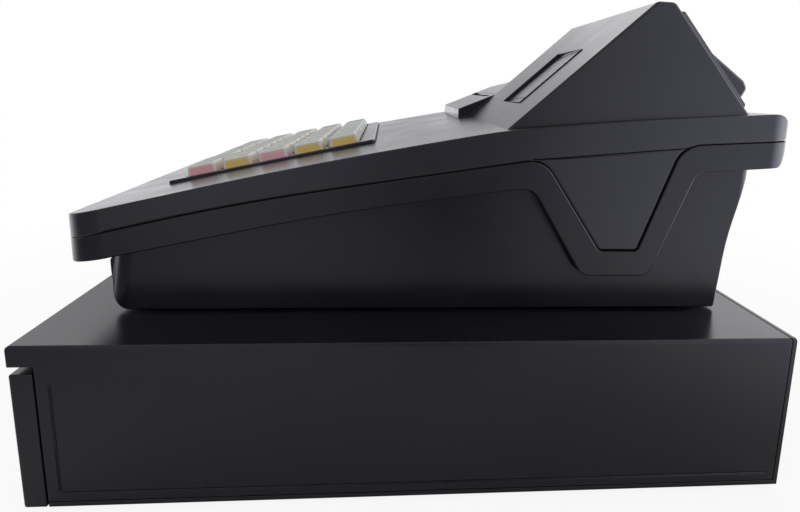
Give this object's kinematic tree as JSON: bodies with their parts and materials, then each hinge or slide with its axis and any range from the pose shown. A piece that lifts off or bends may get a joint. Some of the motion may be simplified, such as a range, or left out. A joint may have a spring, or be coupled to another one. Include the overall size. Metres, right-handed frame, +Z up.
{
  "type": "ticket register",
  "caption": "Counter-top ticket register: sloping moulded keyboard deck with a display hump and paper printer, standing on a folded-steel cash drawer that slides out.",
  "frame": {"origin": "middle of the whole outline, on the plane that the rubber feet stand on", "axes": "+Z up, -Y towards the operator and the way the drawer opens, +Y the customer's side, +X the operator's right"},
  "size_m": [0.35, 0.3803, 0.2441],
  "materials": {
    "cabinet_paint": "fine satin powder coat",
    "tray_paint": "satin paint on folded steel",
    "foot_rubber": "matt",
    "zinc_steel": "zinc plated",
    "coil_steel": "zinc plated frame round a wound coil",
    "lock_chrome": "bright",
    "insert_plastic": "fine grain",
    "clip_plastic": "smooth",
    "roller_nylon": "smooth",
    "case_plastic": "fine spark-eroded grain",
    "panel_plastic": "satin",
    "clear_pane": "clear acrylic",
    "display_glass": "glossy",
    "plate_plastic": "satin",
    "mat_silicone": "matt",
    "key_pale": "clear cap over a pale insert",
    "key_pink": "clear cap over a pink insert",
    "key_amber": "clear cap over an amber insert",
    "mechanism_plastic": "satin",
    "platen_rubber": "matt",
    "paper": "smooth white paper",
    "smoked_plastic": "polished",
    "circuit_board": "solder mask",
    "socket_plastic": "satin"
  },
  "bodies": {
    "cabinet": {"cabinet_cover": "cabinet_paint", "cabinet_base": "cabinet_paint", "cabinet_feet": "foot_rubber", "drawer_runners": "zinc_steel", "latch_solenoid": "coil_steel", "lower_case": "case_plastic", "upper_case": "case_plastic", "display_window": "clear_pane", "display_module": "display_glass", "keyboard_frame": "plate_plastic", "key_mat": "mat_silicone", "printer_mechanism": "mechanism_plastic", "rear_panel": "panel_plastic", "customer_display": "smoked_plastic", "main_board": "circuit_board", "power_inlet": "socket_plastic", "case_screws": "zinc_steel"},
    "drawer": {"drawer_tray": "tray_paint", "drawer_front": "cabinet_paint", "cash_insert": "insert_plastic"},
    "left_roller": {"tray_roller_left": "roller_nylon"},
    "right_roller": {"tray_roller_right": "roller_nylon"},
    "lock": {"drawer_lock": "lock_chrome"},
    "latch": {"latch_hook": "zinc_steel"},
    "roll_cover": {"printer_cover": "case_plastic"},
    "platen": {"platen_roller": "platen_rubber"},
    "paper": {"paper_roll": "paper"},
    "rocker": {"power_switch": "socket_plastic"},
    "clip_1": {"bill_clip_1": "clip_plastic"},
    "clip_2": {"bill_clip_2": "clip_plastic"},
    "clip_3": {"bill_clip_3": "clip_plastic"},
    "clip_4": {"bill_clip_4": "clip_plastic"},
    "key_department_1": {"key_department_1": "key_pink"},
    "key_department_2": {"key_department_2": "key_amber"},
    "key_department_3": {"key_department_3": "key_pink"},
    "key_department_4": {"key_department_4": "key_amber"},
    "key_department_5": {"key_department_5": "key_amber"},
    "key_total": {"key_total": "key_pale"},
    "key_function_1": {"key_function_1": "key_pale"},
    "key_function_2": {"key_function_2": "key_pale"},
    "key_function_3": {"key_function_3": "key_pale"},
    "key_point": {"key_point": "key_pale"},
    "key_0": {"key_0": "key_pale"},
    "key_3": {"key_3": "key_pale"},
    "key_2": {"key_2": "key_pale"},
    "key_1": {"key_1": "key_pale"},
    "key_6": {"key_6": "key_pale"},
    "key_5": {"key_5": "key_pale"},
    "key_4": {"key_4": "key_pale"},
    "key_9": {"key_9": "key_pale"},
    "key_8": {"key_8": "key_pale"},
    "key_7": {"key_7": "key_pale"},
    "key_multiply": {"key_multiply": "key_pale"},
    "key_quantity": {"key_quantity": "key_pale"},
    "key_clear": {"key_clear": "key_pale"},
    "key_mode_1": {"key_mode_1": "key_pale"},
    "key_mode_2": {"key_mode_2": "key_pale"},
    "key_mode_3": {"key_mode_3": "key_pale"},
    "key_mode_4": {"key_mode_4": "key_pale"},
    "key_mode_5": {"key_mode_5": "key_pale"}
  },
  "joints": [
    {"name": "drawer_slide", "type": "slide", "parent": "cabinet", "child": "drawer", "axis": [0, -1, 0], "range_m": [0, 0.25]},
    {"name": "left_roller_turn", "type": "hinge", "parent": "drawer", "child": "left_roller", "pos_m": [-0.1678, 0.1386, 0.032], "axis": [1, 0, 0], "range_deg": [0, 2620]},
    {"name": "right_roller_turn", "type": "hinge", "parent": "drawer", "child": "right_roller", "pos_m": [0.1678, 0.1386, 0.032], "axis": [1, 0, 0], "range_deg": [0, 2620]},
    {"name": "lock_turn", "type": "hinge", "parent": "drawer", "child": "lock", "pos_m": [0, -0.1891, 0.04], "axis": [0, 1, 0], "range_deg": [0, 90]},
    {"name": "clip_1_lift", "type": "hinge", "parent": "drawer", "child": "clip_1", "pos_m": [-0.11745, 0.1434, 0.0412], "axis": [-1, 0, 0], "range_deg": [0, 30], "stiffness_Nm_per_rad": 0.06, "springref_deg": -20.05},
    {"name": "clip_2_lift", "type": "hinge", "parent": "drawer", "child": "clip_2", "pos_m": [-0.03915, 0.1434, 0.0412], "axis": [-1, 0, 0], "range_deg": [0, 30], "stiffness_Nm_per_rad": 0.06, "springref_deg": -20.05},
    {"name": "clip_3_lift", "type": "hinge", "parent": "drawer", "child": "clip_3", "pos_m": [0.03915, 0.1434, 0.0412], "axis": [-1, 0, 0], "range_deg": [0, 30], "stiffness_Nm_per_rad": 0.06, "springref_deg": -20.05},
    {"name": "clip_4_lift", "type": "hinge", "parent": "drawer", "child": "clip_4", "pos_m": [0.11745, 0.1434, 0.0412], "axis": [-1, 0, 0], "range_deg": [0, 30], "stiffness_Nm_per_rad": 0.06, "springref_deg": -20.05},
    {"name": "latch_drop", "type": "hinge", "parent": "cabinet", "child": "latch", "pos_m": [0, 0.1726, 0.0275], "axis": [1, 0, 0], "range_deg": [0, 8]},
    {"name": "key_department_1_press", "type": "slide", "parent": "cabinet", "child": "key_department_1", "axis": [0, 0.2182, -0.9759], "range_m": [0, 0.003], "stiffness_N_per_m": 150, "springref_m": -0.001},
    {"name": "key_department_2_press", "type": "slide", "parent": "cabinet", "child": "key_department_2", "axis": [0, 0.2182, -0.9759], "range_m": [0, 0.003], "stiffness_N_per_m": 150, "springref_m": -0.001},
    {"name": "key_department_3_press", "type": "slide", "parent": "cabinet", "child": "key_department_3", "axis": [0, 0.2182, -0.9759], "range_m": [0, 0.003], "stiffness_N_per_m": 150, "springref_m": -0.001},
    {"name": "key_department_4_press", "type": "slide", "parent": "cabinet", "child": "key_department_4", "axis": [0, 0.2182, -0.9759], "range_m": [0, 0.003], "stiffness_N_per_m": 150, "springref_m": -0.001},
    {"name": "key_department_5_press", "type": "slide", "parent": "cabinet", "child": "key_department_5", "axis": [0, 0.2182, -0.9759], "range_m": [0, 0.003], "stiffness_N_per_m": 150, "springref_m": -0.001},
    {"name": "key_total_press", "type": "slide", "parent": "cabinet", "child": "key_total", "axis": [0, 0.2182, -0.9759], "range_m": [0, 0.003], "stiffness_N_per_m": 150, "springref_m": -0.001},
    {"name": "key_function_1_press", "type": "slide", "parent": "cabinet", "child": "key_function_1", "axis": [0, 0.2182, -0.9759], "range_m": [0, 0.003], "stiffness_N_per_m": 150, "springref_m": -0.001},
    {"name": "key_function_2_press", "type": "slide", "parent": "cabinet", "child": "key_function_2", "axis": [0, 0.2182, -0.9759], "range_m": [0, 0.003], "stiffness_N_per_m": 150, "springref_m": -0.001},
    {"name": "key_function_3_press", "type": "slide", "parent": "cabinet", "child": "key_function_3", "axis": [0, 0.2182, -0.9759], "range_m": [0, 0.003], "stiffness_N_per_m": 150, "springref_m": -0.001},
    {"name": "key_point_press", "type": "slide", "parent": "cabinet", "child": "key_point", "axis": [0, 0.2182, -0.9759], "range_m": [0, 0.003], "stiffness_N_per_m": 150, "springref_m": -0.001},
    {"name": "key_0_press", "type": "slide", "parent": "cabinet", "child": "key_0", "axis": [0, 0.2182, -0.9759], "range_m": [0, 0.003], "stiffness_N_per_m": 150, "springref_m": -0.001},
    {"name": "key_3_press", "type": "slide", "parent": "cabinet", "child": "key_3", "axis": [0, 0.2182, -0.9759], "range_m": [0, 0.003], "stiffness_N_per_m": 150, "springref_m": -0.001},
    {"name": "key_2_press", "type": "slide", "parent": "cabinet", "child": "key_2", "axis": [0, 0.2182, -0.9759], "range_m": [0, 0.003], "stiffness_N_per_m": 150, "springref_m": -0.001},
    {"name": "key_1_press", "type": "slide", "parent": "cabinet", "child": "key_1", "axis": [0, 0.2182, -0.9759], "range_m": [0, 0.003], "stiffness_N_per_m": 150, "springref_m": -0.001},
    {"name": "key_6_press", "type": "slide", "parent": "cabinet", "child": "key_6", "axis": [0, 0.2182, -0.9759], "range_m": [0, 0.003], "stiffness_N_per_m": 150, "springref_m": -0.001},
    {"name": "key_5_press", "type": "slide", "parent": "cabinet", "child": "key_5", "axis": [0, 0.2182, -0.9759], "range_m": [0, 0.003], "stiffness_N_per_m": 150, "springref_m": -0.001},
    {"name": "key_4_press", "type": "slide", "parent": "cabinet", "child": "key_4", "axis": [0, 0.2182, -0.9759], "range_m": [0, 0.003], "stiffness_N_per_m": 150, "springref_m": -0.001},
    {"name": "key_9_press", "type": "slide", "parent": "cabinet", "child": "key_9", "axis": [0, 0.2182, -0.9759], "range_m": [0, 0.003], "stiffness_N_per_m": 150, "springref_m": -0.001},
    {"name": "key_8_press", "type": "slide", "parent": "cabinet", "child": "key_8", "axis": [0, 0.2182, -0.9759], "range_m": [0, 0.003], "stiffness_N_per_m": 150, "springref_m": -0.001},
    {"name": "key_7_press", "type": "slide", "parent": "cabinet", "child": "key_7", "axis": [0, 0.2182, -0.9759], "range_m": [0, 0.003], "stiffness_N_per_m": 150, "springref_m": -0.001},
    {"name": "key_multiply_press", "type": "slide", "parent": "cabinet", "child": "key_multiply", "axis": [0, 0.2182, -0.9759], "range_m": [0, 0.003], "stiffness_N_per_m": 150, "springref_m": -0.001},
    {"name": "key_quantity_press", "type": "slide", "parent": "cabinet", "child": "key_quantity", "axis": [0, 0.2182, -0.9759], "range_m": [0, 0.003], "stiffness_N_per_m": 150, "springref_m": -0.001},
    {"name": "key_clear_press", "type": "slide", "parent": "cabinet", "child": "key_clear", "axis": [0, 0.2182, -0.9759], "range_m": [0, 0.003], "stiffness_N_per_m": 150, "springref_m": -0.001},
    {"name": "key_mode_1_press", "type": "slide", "parent": "cabinet", "child": "key_mode_1", "axis": [0, 0.2182, -0.9759], "range_m": [0, 0.003], "stiffness_N_per_m": 150, "springref_m": -0.001},
    {"name": "key_mode_2_press", "type": "slide", "parent": "cabinet", "child": "key_mode_2", "axis": [0, 0.2182, -0.9759], "range_m": [0, 0.003], "stiffness_N_per_m": 150, "springref_m": -0.001},
    {"name": "key_mode_3_press", "type": "slide", "parent": "cabinet", "child": "key_mode_3", "axis": [0, 0.2182, -0.9759], "range_m": [0, 0.003], "stiffness_N_per_m": 150, "springref_m": -0.001},
    {"name": "key_mode_4_press", "type": "slide", "parent": "cabinet", "child": "key_mode_4", "axis": [0, 0.2182, -0.9759], "range_m": [0, 0.003], "stiffness_N_per_m": 150, "springref_m": -0.001},
    {"name": "key_mode_5_press", "type": "slide", "parent": "cabinet", "child": "key_mode_5", "axis": [0, 0.2182, -0.9759], "range_m": [0, 0.003], "stiffness_N_per_m": 150, "springref_m": -0.001},
    {"name": "roll_cover_hinge", "type": "hinge", "parent": "cabinet", "child": "roll_cover", "pos_m": [-0.076, 0.1369, 0.20648], "axis": [-1, 0, 0], "range_deg": [0, 100]},
    {"name": "platen_turn", "type": "hinge", "parent": "cabinet", "child": "platen", "pos_m": [-0.076, 0.0554, 0.186], "axis": [1, 0, 0], "continuous": true},
    {"name": "paper_turn", "type": "hinge", "parent": "cabinet", "child": "paper", "pos_m": [-0.076, 0.1069, 0.1643], "axis": [1, 0, 0], "continuous": true},
    {"name": "rocker_tip", "type": "hinge", "parent": "cabinet", "child": "rocker", "pos_m": [-0.06, 0.1585, 0.105], "axis": [-1, 0, 0], "range_deg": [0, 18]}
  ],
  "couplings": [
    {"joint": "left_roller_turn", "follows": "drawer_slide", "rad_per_m": 181.82},
    {"joint": "right_roller_turn", "follows": "drawer_slide", "rad_per_m": 181.82},
    {"joint": "paper_turn", "follows": "platen_turn", "ratio": 0.21739}
  ]
}
